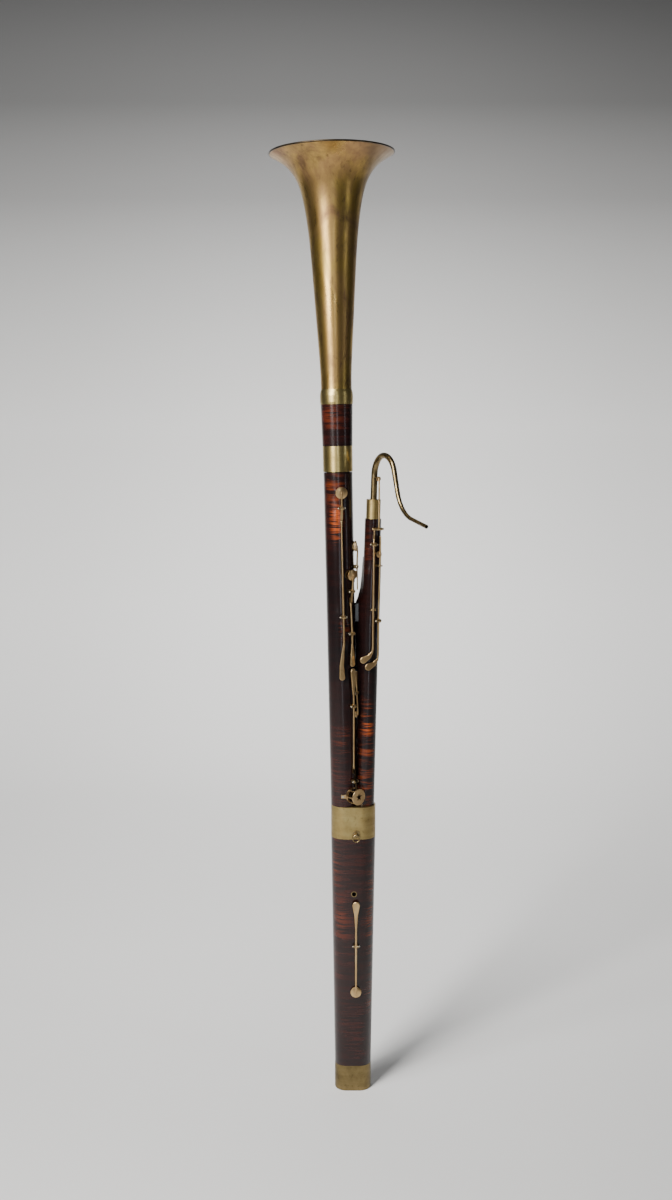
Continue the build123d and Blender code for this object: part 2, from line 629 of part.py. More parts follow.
def fin_section(height, left, deep, radius=3.2):
    """The wing's outline at one height: the round body hulled with the fin's edge."""
    middle = wing_at(height)
    return Pos(0, 0, height) * hull((middle, 0, wing_round(height) - 0.12), (left + radius, deep, radius))


fin_low = [fin_section(butt_height + 0.3, -2, 8), fin_section(600, -3, 8), fin_section(722, -3, 8)]
fin_high = [fin_section(722, -3, 8), fin_section(724, 2.6, 7.6), fin_section(733, 6.0, 7),
            fin_section(745, 9.0, 6.2), fin_section(762, 10.9, 5), fin_section(790, 12.9, 3, 2.8)]
wing_wood = wing_frame * (Pos(0, 0, -0.5) * Cone(wing_radius[0], wing_radius[1], wing_top, align=ON_BASE))
wing_wood -= foot_trim
for lower, upper in zip(fin_low[:-1] + fin_high[:-1], fin_low[1:] + fin_high[1:]):
    wing_wood += loft([lower, upper], ruled=True)
wing_wood += wing_frame * (Pos(0, 0, -tenon_length) * Cylinder(wing_tenon_radius - 0.25, tenon_length + 3,
                                                              align=ON_BASE))
wing_wood -= long_frame * (Pos(0, 0, -1) * Cone(long_radius[0] + 0.45, long_radius[1] + 0.45, long_length,
                                                align=ON_BASE))
# Room for the flank key's touch as the wing is drawn up past it.
wing_wood -= block((-2, 6.8), (-6, 1.9), (698, 746))
wing_wood -= wing_frame * tube(wing_tenon_radius + 1, wing_tenon_radius - 1.1, lap_low, lap_high)
wing_wood -= wing_frame * (Pos(0, 0, -tenon_length - 1)
                           * Cone(wing_bore[0], wing_bore[1], wing_top + tenon_length, align=ON_BASE))
crook_socket = 5.9
socket_depth = 38
spigot = 9.2
ferrule_low, ferrule_high = 844 - butt_height, 871 - butt_height
wing_wood -= wing_frame * (Pos(0, 0, ferrule_low) * Cylinder(20, 10, align=ON_BASE))
wing_wood += wing_frame * (Pos(0, 0, ferrule_low - 2) * Cylinder(spigot, ferrule_high - ferrule_low + 0.8,
                                                                align=ON_BASE))
wing_wood -= wing_frame * (Pos(0, 0, ferrule_high - socket_depth) * Cylinder(crook_socket, 60, align=ON_BASE))
wing_lapping = wing_frame * tube(wing_tenon_radius, wing_tenon_radius - 1.08, lap_low + 0.02, lap_high - 0.02)
wing_ferrule = wing_frame * turned(
    (spigot + 0.02, ferrule_low + 0.02), (10.1, ferrule_low + 0.02), (10.1, ferrule_high - 0.4),
    (9.7, ferrule_high), (crook_socket, ferrule_high), (crook_socket, ferrule_high - 1.18),
    (spigot + 0.02, ferrule_high - 1.18))
for mouth_x, mouth_y, mouth_z, bore_z in ((13, 20, 700, 716), (8, 20, 640, 650), (9, 20, 585, 585)):
    end = (wing_at(bore_z), 0, bore_z)
    wing_fit.holes.append(span((mouth_x, mouth_y, mouth_z), end, 2.9))


def wing_rod(side, *stations):
    """A wing shaft through (across, height, rise above the wood, radius) stations."""
    return chain(*[(across, side.up(height), side.reach(height) + rise, radius)
                   for across, height, rise, radius in stations])


def bean(side, height, low_rise, end, mid, tilt=0):
    """A spoon-shaped touch that curls away from its shaft's foot, tilted to wrap the joint."""
    spoon = plate(hull((0, 9, 1.6), mid), 0, touch_thick, touch_edge)
    spoon += plate(hull(mid, end), 0, touch_thick, touch_edge)
    return Pos(0, side.up(height), side.reach(height) + low_rise) * Rot(0, -tilt, 0) * spoon


# The crook key's long lever: touch low on the wing, pivot near the top, a tip under the rocker's short arm.
crook_side = wing_side(10.5)
crook_pivot, crook_rise, rocker_at = 809, 3.6, 830.7
lever = bean(crook_side, 648, 4.6, end=(-12, -2.3, 4.7), mid=(-4.5, 2.2, 3.1))
lever += wing_rod(crook_side, (0, 656, 5.6, 1.3), (0.9, 664, 6.0, 1.4), (-0.9, crook_pivot, crook_rise, 1.4))
y, out = crook_side.up(crook_pivot), crook_side.reach(crook_pivot) + crook_rise
lever += wing_rod(crook_side, (-0.9, crook_pivot, crook_rise, 1.4), (-1.2, 816, crook_rise - 0.4, 1.1))
lever += tongue_plate(-1.2, crook_side.up(815), crook_side.up(822.5), out - 0.4, 1.4)
lever += hub(-0.9, y, out, 1.8)
pieces["crook_key_lever"] = crook_side.put(lever - pin_hole(0, y, out))
wing_fit.saddle(crook_side, crook_pivot, crook_rise, 1.8, across=-0.9)
wing_fit.guide(crook_side, 717, 0.3, 2.1, 5.6)
wing_fit.spring(crook_side, crook_pivot, -1, crook_rise, across=-0.7, length=30)
hinges["crook_key"] = (crook_side, crook_pivot, out)

# The rocker: a cross axle in two posts, one arm down over the lever's tip and one up to the crook's vent.
vent_side = wing_side(30)
vent_at, vent_tip, vent_gap = 900, 8.0, 1.6
pad_arm = vent_at - rocker_at
rocker_out = 16.1
y, vent_y = vent_side.up(rocker_at), vent_side.up(vent_at)
rocker_tilt = vent_gap / pad_arm * 180 / pi
rocker = chain((-9.6, y, rocker_out, 1.6), (6.6, y, rocker_out, 1.6))
rocker -= block((-5.9, -3.0), (y - 3, y + 3), (rocker_out - 3, rocker_out + 3))
rocker -= block((2.6, 5.1), (y - 3, y + 3), (rocker_out - 3, rocker_out + 3))
axle = Pos(-1.5, y, rocker_out) * Rot(0, 90, 0) * Cylinder(1.1, 15)
rocker += axle
pad_out = vent_tip + pad_gap
rocker += chain((-7.4, y, rocker_out, 1.2), (-7.4, y - 8, rocker_out + 0.6, 1.0))
rocker += chain((0, y, rocker_out, 1.3), (0, y + 16, rocker_out - 0.6, 1.3),
                (0, vent_y - 12, pad_out + 4.4, 1.2), (0, vent_y, pad_out + 3.0, 1.1))
rocker += Pos(0, vent_y, pad_out + 0.8) * Cylinder(3.4, 1.6, align=ON_BASE)
vent_pad = Pos(0, vent_y, pad_out) * Cylinder(3.0, 0.8, align=ON_BASE)
pieces["crook_key_rocker"] = vent_side.put(tipped(rocker, y, rocker_out, rocker_tilt))
pieces["crook_key_pad"] = vent_side.put(tipped(vent_pad, y, rocker_out, rocker_tilt))
hinges["crook_rocker"] = (vent_side, rocker_at, rocker_out, rocker_tilt)
for post_low, post_high in ((-5.5, -3.4), (3.0, 4.7)):
    post = block((post_low, post_high), (y - 2, y + 2), (5, rocker_out))
    post += Pos((post_low + post_high) / 2, y, rocker_out) * Rot(0, 90, 0) * Cylinder(2, post_high - post_low)
    post -= Pos(0, y, rocker_out) * Rot(0, 90, 0) * Cylinder(1.1 + fit_gap, 30)
    wing_fit.saddles.append(vent_side.put(post) - wing_frame * Cylinder(wing_bore[1] + 5, 900))

# The A key: touch below the pivot, cup above it, closed by its spring.
a_side = wing_side(41)
a_pivot, a_rise, a_cup = 701, 4.0, 795
y, out = a_side.up(a_pivot), a_side.reach(a_pivot) + a_rise
mouth, cup_y = closed_height(a_side, a_cup), a_side.up(a_cup)
cup_top = mouth + cup_height + cup_dome
lever = bean(a_side, 637, 4.2, end=(-13.5, -1.2, 4.9), mid=(-5, 3, 3.2), tilt=20)
lever += wing_rod(a_side, (0, 645, 5.2, 1.3), (0.8, 653, 5.4, 1.4), (0.9, a_pivot, a_rise, 1.5))
lever += chain((0.9, y, out, 1.5), (0, cup_y - 10, cup_top + 0.3, 1.4), (-0.2, cup_y, cup_top + 0.3, 1.3),
               (-0.8, a_side.up(820), cup_top + 0.3, 1.1))
lever += Pos(0, cup_y, mouth) * cover(4.5)
lever += hub(0.9, y, out, 1.8)
pieces["a_key"] = a_side.put(lever - pin_hole(0, y, out))
pieces["a_pad"] = a_side.put(Pos(0, cup_y, mouth) * pad(4.5))
wing_fit.saddle(a_side, a_pivot, a_rise, 1.8, across=0.9)
wing_fit.guide(a_side, 779, 0.2, 2.1, 5.6)
wing_fit.spring(a_side, a_pivot, -1, a_rise, across=0.9)
wing_fit.seat(a_side, a_cup, 3.9, 2.2)
hinges["a_key"] = (a_side, a_pivot, out)
wing_joint_wood = wing_fit.cut_from(wing_wood)

# Crook: a tapered tube up out of the wing, over and down to the reed.
crook_turn = radians(65)
crook_place = wing_frame * Plane(origin=(0, 0, 0), x_dir=(cos(crook_turn), -sin(crook_turn), 0),
                                 z_dir=(-sin(crook_turn), -cos(crook_turn), 0)).location
crook_foot = ferrule_high - socket_depth + 1
crook_points = [(0, crook_foot), (0, 501), (51.3, 501), (82.4, 425.1), (144.8, 415.1)]
crook_bends = [28.4, 33, 55]
reed_seat = (10, 2.65)
crook_path = FilletPolyline(*[(x, y, 0) for x, y in crook_points], radius=crook_bends)
crook_sizes = [(0, 4.8), (0.28, 4.5), (0.5, 3.9), (0.7, 3.2), (1, 2.65)]
crook_wall = 0.55


def crook_solid(shrink):
    sections = [Plane(origin=crook_path @ part, z_dir=crook_path % part) * Circle(radius - shrink)
                for part, radius in crook_sizes]
    return sweep(sections, path=crook_path, multisection=True)


crook_tip = crook_path @ 1
crook_end = crook_tip + (crook_path % 1) * reed_seat[0]
reed_end = span(crook_tip, crook_end, reed_seat[1]) - span(crook_tip, crook_end, reed_seat[1] - crook_wall)
crook_tube = crook_place * (crook_solid(0) - crook_solid(crook_wall) + reed_end)
nipple = Pos(0, vent_y, 3.2) * Cone(2.6, 1.7, vent_tip - 3.2, align=ON_BASE)
nipple -= Pos(0, vent_y, 1) * Cylinder(0.6, 9, align=ON_BASE)
vent_drill = vent_side.put(Pos(0, vent_y, 1) * Cylinder(0.6, 9, align=ON_BASE))
crook_vent = vent_side.put(nipple) - crook_place * crook_solid(0)
crook_tube -= vent_drill
lap_foot = ferrule_high - socket_depth + 4
crook_lapping = wing_frame * tube(crook_socket - fit_gap, crook_sizes[0][1] + fit_gap,
                                  lap_foot, ferrule_high - 2)

# ---- Write one file per piece
nodes = {
    "butt_wood": [butt_wood],
    "butt_band": [butt_band],
    "butt_cap": [butt_cap],
    "u_tube": [u_tube],
    "u_tube_gasket": [gasket_sheet],
    "strap_post": [strap_post],
    "strap_ring": [strap_ring],
    "butt_saddles": butt_fit.saddles,
    "butt_pivot_pins": butt_fit.pins,
    "butt_springs": butt_fit.springs,
    "butt_tone_rings": butt_fit.rings,
    "f_key_guard": [f_key_guard],
    "long_joint_wood": [long_joint_wood],
    "long_tenon_lapping": [long_lapping],
    "bell_tenon_lapping": [bell_lapping],
    "long_saddles": long_fit.saddles,
    "long_pivot_pins": long_fit.pins,
    "long_springs": long_fit.springs,
    "long_tone_rings": long_fit.rings,
    "star_guard": [guard],
    "wing_joint_wood": [wing_joint_wood],
    "wing_ferrule": [wing_ferrule],
    "wing_tenon_lapping": [wing_lapping],
    "wing_saddles": wing_fit.saddles,
    "wing_pivot_pins": wing_fit.pins,
    "wing_springs": wing_fit.springs,
    "wing_tone_rings": wing_fit.rings,
    "bell_wood": [bell_wood],
    "bell_ring": [bell_ring],
    "bell_ferrule": [bell_ferrule],
    "bell_flare": [bell_flare],
    "bell_rim": [bell_rim],
    "crook_tube": [crook_tube],
    "crook_vent": [crook_vent],
    "crook_lapping": [crook_lapping],
    **{name: [shape] for name, shape in pieces.items()},
}
os.makedirs("parts", exist_ok=True)
for name, shapes in nodes.items():
    save(name, *shapes)
print(len(nodes), "pieces written")
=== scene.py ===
import json
import math
import bmesh
import bpy
import numpy as np
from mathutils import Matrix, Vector


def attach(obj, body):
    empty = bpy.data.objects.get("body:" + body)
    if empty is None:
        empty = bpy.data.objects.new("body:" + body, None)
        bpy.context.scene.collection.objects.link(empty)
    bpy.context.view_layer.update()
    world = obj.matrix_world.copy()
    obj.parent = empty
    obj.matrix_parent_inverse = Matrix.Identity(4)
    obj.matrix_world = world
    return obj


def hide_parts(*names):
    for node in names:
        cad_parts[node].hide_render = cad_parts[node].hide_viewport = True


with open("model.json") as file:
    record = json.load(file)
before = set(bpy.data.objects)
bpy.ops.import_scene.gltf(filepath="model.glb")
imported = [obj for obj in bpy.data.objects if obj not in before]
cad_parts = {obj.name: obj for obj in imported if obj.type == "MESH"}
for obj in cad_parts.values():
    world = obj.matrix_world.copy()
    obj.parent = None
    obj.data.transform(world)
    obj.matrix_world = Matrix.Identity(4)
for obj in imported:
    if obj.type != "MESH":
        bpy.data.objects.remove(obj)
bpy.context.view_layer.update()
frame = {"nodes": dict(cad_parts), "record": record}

nodes = frame["nodes"]
print("frame loaded:", len(nodes), "nodes")


# Materials.

def newMaterial(name):
    material = bpy.data.materials.new(name)
    material.use_nodes = True
    tree = material.node_tree
    return material, tree, tree.nodes["Principled BSDF"]


def ramp(tree, source, stops, smooth=False):
    node = tree.nodes.new("ShaderNodeValToRGB")
    node.color_ramp.interpolation = "EASE" if smooth else "LINEAR"
    elements = node.color_ramp.elements
    while len(elements) < len(stops):
        elements.new(0.5)
    for element, (place, colour) in zip(elements, stops):
        element.position = place
        element.color = (*colour, 1)
    tree.links.new(source, node.inputs["Fac"])
    return node.outputs["Color"]


def grey(value):
    return (value, value, value)


def stretched(tree, scale, shift=(0, 0, 0)):
    place = tree.nodes.new("ShaderNodeTexCoord")
    mapping = tree.nodes.new("ShaderNodeMapping")
    mapping.inputs["Scale"].default_value = scale
    mapping.inputs["Location"].default_value = shift
    tree.links.new(place.outputs["Object"], mapping.inputs["Vector"])
    return mapping.outputs["Vector"]


def axes(tree):
    place = tree.nodes.new("ShaderNodeTexCoord")
    split = tree.nodes.new("ShaderNodeSeparateXYZ")
    tree.links.new(place.outputs["Object"], split.inputs[0])
    return split.outputs


def mixed(tree, first, second, share):
    most = calc(tree, "MULTIPLY", first, share)
    return calc(tree, "ADD", most, calc(tree, "MULTIPLY", second, 1 - share))


def noise(tree, vector, scale, detail=3, rough=0.5, distortion=0.0):
    node = tree.nodes.new("ShaderNodeTexNoise")
    node.inputs["Scale"].default_value = scale
    node.inputs["Detail"].default_value = detail
    node.inputs["Roughness"].default_value = rough
    node.inputs["Distortion"].default_value = distortion
    tree.links.new(vector, node.inputs["Vector"])
    return node.outputs["Fac"]


def blendColours(tree, factor, first, second, way="MIX"):
    node = tree.nodes.new("ShaderNodeMix")
    node.data_type = "RGBA"
    node.blend_type = way
    factorSocket, firstSocket, secondSocket = node.inputs[0], node.inputs[6], node.inputs[7]
    for socket, value in ((factorSocket, factor), (firstSocket, first), (secondSocket, second)):
        if isinstance(value, (int, float)):
            socket.default_value = value
        elif isinstance(value, tuple):
            socket.default_value = (*value, 1)
        else:
            tree.links.new(value, socket)
    return node.outputs[2]


def calc(tree, operation, first, second=None, clamp=False):
    node = tree.nodes.new("ShaderNodeMath")
    node.operation = operation
    node.use_clamp = clamp
    for socket, value in zip(node.inputs, (first, second)):
        if value is None:
            continue
        if isinstance(value, (int, float)):
            socket.default_value = value
        else:
            tree.links.new(value, socket)
    return node.outputs[0]


def bumped(tree, shader, height, strength, distance):
    node = tree.nodes.new("ShaderNodeBump")
    node.inputs["Strength"].default_value = strength
    node.inputs["Distance"].default_value = distance
    tree.links.new(height, node.inputs["Height"])
    tree.links.new(node.outputs["Normal"], shader.inputs["Normal"])


maple = {
    "ground": (0.0035, 0.0026, 0.0029),
    "umber": (0.019, 0.0052, 0.0040),
    "red": (0.085, 0.0135, 0.0075),
    "glintOrange": (0.52, 0.092, 0.012),
    "roughness": (0.17, 0.27),
    "specular": 0.30,
    "polish": 0.16,
    "curlPitch": 150.0,
    "fineCurlPitch": 460.0,
    "grainDepth": 0.00002,
    "halfWidth": 0.029,
}


def curlyMaple(name, glints, redness=0.5, crown=0.0):
    material, tree, shader = newMaterial(name)
    # The curl: bands across the grain that waver and break, a few millimetres apart.
    across = stretched(tree, (15, 15, maple["curlPitch"]))
    curl = noise(tree, across, 1.0, 4, 0.62, 0.5)
    fineAcross = stretched(tree, (38, 38, maple["fineCurlPitch"]), shift=(3, 1, 2))
    fineCurl = noise(tree, fineAcross, 1.0, 4, 0.62, 0.3)
    stripes = mixed(tree, curl, fineCurl, 0.5)
    # Where the stain was rubbed thinner the figure shows red.
    cloud = noise(tree, stretched(tree, (7, 7, 2.6), shift=(0.3, 4.1, 1.7)), 1.0, 3, 0.55)
    thin = ramp(tree, cloud, [(0.40, grey(0)), (0.66, grey(1))], True)
    figure = ramp(tree, stripes, [(0.45, grey(0)), (0.60, grey(1))], True)
    shown = calc(tree, "ADD", calc(tree, "MULTIPLY", thin, 0.85), 0.15)
    redMask = calc(tree, "MULTIPLY", figure, shown, True)
    lighter = ramp(tree, cloud, [(0.3, grey(0)), (0.75, grey(1))])
    ground = blendColours(tree, lighter, maple["ground"], maple["umber"])
    colour = blendColours(tree, calc(tree, "MULTIPLY", redMask, redness, True), ground, maple["red"])
    # Painted glints: bright orange patches where the flame figure catches the light, each fading out
    # round its middle.
    for (x, y, z), (wide, tall), strength in glints:
        centred = stretched(tree, (1 / wide, 1 / wide, 1 / tall),
                            shift=(-x / wide, -y / wide, -z / tall))
        ball = tree.nodes.new("ShaderNodeTexGradient")
        ball.gradient_type = "SPHERICAL"
        tree.links.new(centred, ball.inputs["Vector"])
        patch = ramp(tree, ball.outputs["Fac"], [(0.0, grey(0)), (1.0, grey(1))], True)
        bands = ramp(tree, stripes, [(0.45, grey(0)), (0.62, grey(1))], True)
        mask = calc(tree, "MULTIPLY", calc(tree, "MULTIPLY", patch, bands), strength, True)
        colour = blendColours(tree, mask, colour, maple["glintOrange"])
    tree.links.new(colour, shader.inputs["Base Color"])
    grain = noise(tree, stretched(tree, (900, 900, 22)), 1.0, 3, 0.6)
    smudge = noise(tree, stretched(tree, (14, 14, 9)), 1.0, 4, 0.6)
    low, high = maple["roughness"]
    roughness = ramp(tree, smudge, [(0.3, grey(low)), (0.7, grey(high))])
    tree.links.new(roughness, shader.inputs["Roughness"])
    shader.inputs["Specular IOR Level"].default_value = maple["specular"]
    shader.inputs["Coat Weight"].default_value = maple["polish"]
    shader.inputs["Coat Roughness"].default_value = maple["polish"]
    relief = calc(tree, "MULTIPLY", grain, maple["grainDepth"])
    if crown:
        # The flat faces were scraped slightly round, which keeps their shine in one narrow band.
        turn = calc(tree, "MULTIPLY", axes(tree)["X"], math.pi / maple["halfWidth"])
        wave = calc(tree, "COSINE", turn)
        relief = calc(tree, "ADD", relief, calc(tree, "MULTIPLY", wave, crown))
    bumped(tree, shader, relief, 1.0, 1.0)
    return material


def agedBrass(name, dark, warm, bright, roughness, streak=(60, 60, 5), patchScale=18.0, speck=0.5):
    material, tree, shader = newMaterial(name)
    cloud = noise(tree, stretched(tree, (1, 1, 0.55)), patchScale, 5, 0.62, 0.6)
    drawn = noise(tree, stretched(tree, streak, shift=(1.3, 0.4, 2.2)), 1.0, 4, 0.6)
    tone = mixed(tree, cloud, drawn, 0.62)
    colour = ramp(tree, tone, [(0.34, dark), (0.50, warm), (0.66, bright)])
    spots = noise(tree, stretched(tree, (1, 1, 1), shift=(5, 2, 9)), 260.0, 2, 0.5)
    pits = ramp(tree, spots, [(0.30, grey(1)), (0.38, grey(0))])
    pitColour = tuple(channel * 0.35 for channel in dark)
    colour = blendColours(tree, calc(tree, "MULTIPLY", pits, speck, True), colour, pitColour)
    tree.links.new(colour, shader.inputs["Base Color"])
    shader.inputs["Metallic"].default_value = 1.0
    wear = ramp(tree, tone, [(0.3, grey(roughness[1])), (0.7, grey(roughness[0]))])
    tree.links.new(wear, shader.inputs["Roughness"])
    fine = noise(tree, stretched(tree, (700, 700, 90)), 1.0, 3, 0.6)
    height = calc(tree, "ADD", calc(tree, "MULTIPLY", fine, 0.4), cloud)
    bumped(tree, shader, height, 0.10, 0.0001)
    return material


bellPatinaAndShade = {
    "bronze": (0.125, 0.078, 0.034),
    "olive": (0.305, 0.205, 0.060),
    "gold": (0.54, 0.355, 0.090),
    "rose": (0.36, 0.195, 0.105),
    "soot": (0.110, 0.070, 0.040),
    "roseFrom": 1.290,
    "shadeFrom": 0.004,
    "shadeDepth": 0.72,
}


def patinatedAndShadedBell(name):
    material, tree, shader = newMaterial(name)
    place = axes(tree)
    cloud = noise(tree, stretched(tree, (1, 1, 0.45)), 26.0, 5, 0.66, 0.8)
    rubbed = noise(tree, stretched(tree, (95, 95, 5.5), shift=(1.3, 0.4, 2.2)), 1.0, 5, 0.62)
    tone = mixed(tree, cloud, rubbed, 0.66)
    colour = ramp(tree, tone, [(0.38, bellPatinaAndShade["bronze"]), (0.47, bellPatinaAndShade["olive"]),
                               (0.59, bellPatinaAndShade["gold"])])
    # Copper shows through towards the mouth and in drifts down the body.
    drift = noise(tree, stretched(tree, (1, 1, 0.3), shift=(4, 7, 1)), 21.0, 4, 0.6, 0.5)
    above = calc(tree, "SUBTRACT", place["Z"], bellPatinaAndShade["roseFrom"])
    mouth = calc(tree, "MULTIPLY", above, 19.0, True)
    drifts = ramp(tree, drift, [(0.44, grey(0)), (0.62, grey(1))], True)
    rosy = calc(tree, "ADD", calc(tree, "MULTIPLY", mouth, 0.38),
                calc(tree, "MULTIPLY", drifts, 0.34), True)
    colour = blendColours(tree, rosy, colour, bellPatinaAndShade["rose"])
    # Handling marks and soot, and painted shade on the side past the seam, which is turned away from the
    # light.
    spots = noise(tree, stretched(tree, (1, 1, 0.6), shift=(5, 2, 9)), 120.0, 3, 0.6)
    pits = ramp(tree, spots, [(0.27, grey(0.6)), (0.40, grey(0))])
    colour = blendColours(tree, pits, colour, bellPatinaAndShade["soot"])
    pastSeam = calc(tree, "SUBTRACT", place["X"], bellPatinaAndShade["shadeFrom"])
    paintedShadeSide = calc(tree, "MULTIPLY", pastSeam, 55.0, True)
    colour = blendColours(tree, calc(tree, "MULTIPLY", paintedShadeSide, bellPatinaAndShade["shadeDepth"]), colour,
                          bellPatinaAndShade["bronze"])
    tree.links.new(colour, shader.inputs["Base Color"])
    shader.inputs["Metallic"].default_value = 1.0
    wear = ramp(tree, tone, [(0.36, grey(0.46)), (0.62, grey(0.27))])
    tree.links.new(wear, shader.inputs["Roughness"])
    planished = noise(tree, stretched(tree, (1, 1, 0.5), shift=(2, 2, 2)), 42.0, 2, 0.5)
    fine = noise(tree, stretched(tree, (700, 700, 90)), 1.0, 3, 0.6)
    height = calc(tree, "ADD", calc(tree, "MULTIPLY", fine, 0.02), planished)
    bumped(tree, shader, height, 0.5, 0.0006)
    return material


def plainMetal(name, colour, roughness):
    material, tree, shader = newMaterial(name)
    grainy = noise(tree, stretched(tree, (300, 300, 300)), 1.0, 3, 0.6)
    dull = tuple(channel * 0.7 for channel in colour)
    tone = ramp(tree, grainy, [(0.3, dull), (0.7, colour)])
    tree.links.new(tone, shader.inputs["Base Color"])
    shader.inputs["Metallic"].default_value = 1.0
    rough = ramp(tree, grainy, [(0.3, grey(roughness + 0.1)), (0.7, grey(roughness))])
    tree.links.new(rough, shader.inputs["Roughness"])
    return material


def softStuff(name, dark, light, scale, roughness, depth):
    material, tree, shader = newMaterial(name)
    pores = noise(tree, stretched(tree, (1, 1, 1)), scale, 4, 0.65)
    tree.links.new(ramp(tree, pores, [(0.35, dark), (0.65, light)]), shader.inputs["Base Color"])
    shader.inputs["Roughness"].default_value = roughness
    bumped(tree, shader, pores, 0.35, depth)
    return material


# Painted glints on each wood: centre, width and height, and strength.
longGlints = [
    ((-0.0246, -0.021, 0.842), (0.0135, 0.040), 0.9),
    ((-0.0290, -0.018, 0.900), (0.020, 0.050), 0.25),
    ((-0.0130, -0.020, 0.528), (0.016, 0.030), 0.10),
    ((-0.0120, -0.020, 0.690), (0.012, 0.020), 0.22),
]
wingGlints = [
    ((0.0210, -0.016, 0.553), (0.014, 0.034), 0.75),
    ((0.0210, -0.013, 0.500), (0.024, 0.120), 0.26),
    ((0.0170, -0.012, 0.800), (0.012, 0.060), 0.06),
]
buttGlints = [
    ((0.0290, -0.013, 0.270), (0.016, 0.110), 0.42),
    ((-0.0290, -0.012, 0.345), (0.018, 0.060), 0.12),
    ((0.0280, -0.010, 0.150), (0.014, 0.060), 0.22),
    ((-0.0180, -0.018, 0.260), (0.020, 0.050), 0.10),
]
bellGlints = [
    ((-0.0300, -0.021, 0.985), (0.020, 0.030), 0.12),
]
finishes = {
    "longWood": curlyMaple("long joint maple", longGlints, 0.50),
    "wingWood": curlyMaple("wing joint maple", wingGlints, 0.45),
    "buttWood": curlyMaple("butt maple", buttGlints, 0.42, 0.0019),
    "bellWood": curlyMaple("bell socket maple", bellGlints, 0.62),
    "bellBrass": patinatedAndShadedBell("bell brass"),
    "seamBrass": agedBrass("seam brass", (0.12, 0.07, 0.035), (0.25, 0.155, 0.07), (0.36, 0.25, 0.12),
                           (0.3, 0.45)),
    # Painted shade: the rim wire is near-black brass, standing in for its shaded underside.
    "shadedRimBrass": agedBrass("rim brass painted shade", (0.022, 0.016, 0.012), (0.05, 0.036, 0.022), (0.12, 0.09, 0.05),
                          (0.3, 0.45)),
    "ringBrass": agedBrass("ring brass", (0.33, 0.24, 0.085), (0.50, 0.385, 0.150), (0.62, 0.50, 0.22),
                           (0.24, 0.36), (30, 30, 120), 22.0, 0.3),
    "bandBrass": agedBrass("band brass", (0.24, 0.165, 0.065), (0.36, 0.265, 0.105), (0.46, 0.36, 0.155),
                           (0.34, 0.46), (30, 30, 110), 20.0, 0.3),
    "capBrass": agedBrass("cap brass", (0.11, 0.080, 0.036), (0.19, 0.140, 0.061), (0.27, 0.20, 0.092),
                          (0.36, 0.50), (30, 30, 110), 26.0, 0.4),
    "crookBrass": agedBrass("crook brass", (0.12, 0.085, 0.040), (0.22, 0.16, 0.075), (0.34, 0.26, 0.13),
                            (0.20, 0.34), (60, 60, 60), 30.0, 0.2),
    "keyBrass": agedBrass("key brass", (0.34, 0.215, 0.100), (0.53, 0.360, 0.175), (0.68, 0.51, 0.28),
                          (0.24, 0.36), (90, 90, 20), 30.0, 0.2),
    "shadedBrass": agedBrass("shaded brass", (0.02, 0.014, 0.008), (0.045, 0.03, 0.016),
                             (0.09, 0.06, 0.03), (0.35, 0.5), (120, 120, 120), 60.0, 0.4),
    "saddleBrass": agedBrass("saddle brass", (0.13, 0.09, 0.045), (0.26, 0.19, 0.09), (0.42, 0.32, 0.17),
                             (0.22, 0.36), (120, 120, 120), 80.0, 0.3),
    "pinMetal": plainMetal("pin metal", (0.62, 0.56, 0.46), 0.22),
    "blueSteel": plainMetal("blued spring steel", (0.055, 0.06, 0.085), 0.30),
    "kid": softStuff("kid leather", (0.42, 0.29, 0.18), (0.62, 0.47, 0.33), 900.0, 0.75, 0.0002),
    "cork": softStuff("cork", (0.24, 0.13, 0.06), (0.52, 0.34, 0.18), 500.0, 0.85, 0.0005),
    "waxedThread": softStuff("waxed thread", (0.20, 0.03, 0.02), (0.42, 0.09, 0.05), 1200.0, 0.6,
                             0.0002),
}


def finishFor(node):
    special = {
        "butt_wood": "buttWood", "long_joint_wood": "longWood", "wing_joint_wood": "wingWood",
        "bell_wood": "bellWood", "bell_flare": "bellBrass", "bell_rim": "shadedRimBrass",
        "bell_ring": "ringBrass", "bell_ferrule": "ringBrass",
        "butt_band": "bandBrass", "butt_cap": "capBrass", "u_tube": "capBrass",
        "wing_ferrule": "bandBrass", "crook_tube": "crookBrass", "crook_vent": "crookBrass",
        "u_tube_gasket": "cork", "strap_post": "saddleBrass", "strap_ring": "saddleBrass",
        "star_guard": "keyBrass", "f_key_guard": "saddleBrass", "low_d_cover_lever": "shadedBrass",
    }
    if node in special:
        return special[node]
    endings = {
        "_pad": "kid", "lapping": "waxedThread", "_springs": "blueSteel", "_pivot_pins": "pinMetal",
        "_saddles": "saddleBrass", "_rings": "saddleBrass",
    }
    for ending, finish in endings.items():
        if node.endswith(ending):
            return finish
    return "keyBrass"


for name, piece in nodes.items():
    piece.data.materials.clear()
    piece.data.materials.append(finishes[finishFor(name)])
print("finishes given")


# Shared modelling helpers.

def nothingSelected():
    if bpy.context.mode != "OBJECT":
        bpy.ops.object.mode_set(mode="OBJECT")
    bpy.ops.object.select_all(action="DESELECT")


def only(piece):
    nothingSelected()
    piece.select_set(True)
    bpy.context.view_layer.objects.active = piece


def applied(piece, kind, **settings):
    only(piece)
    modifier = piece.modifiers.new(kind.lower(), kind)
    for key, value in settings.items():
        setattr(modifier, key, value)
    bpy.ops.object.modifier_apply(modifier=modifier.name)


def settle(piece):
    only(piece)
    bpy.ops.object.transform_apply(location=True, rotation=True, scale=True)


def onAxis(piece, foot, lean):
    piece.rotation_euler = (0, math.atan(lean), 0)
    piece.location = (foot[0], 0, foot[1])
    settle(piece)


def smooth(piece, angle):
    only(piece)
    bpy.ops.object.shade_smooth_by_angle(angle=math.radians(angle))


# Bell, spun from sheet brass.

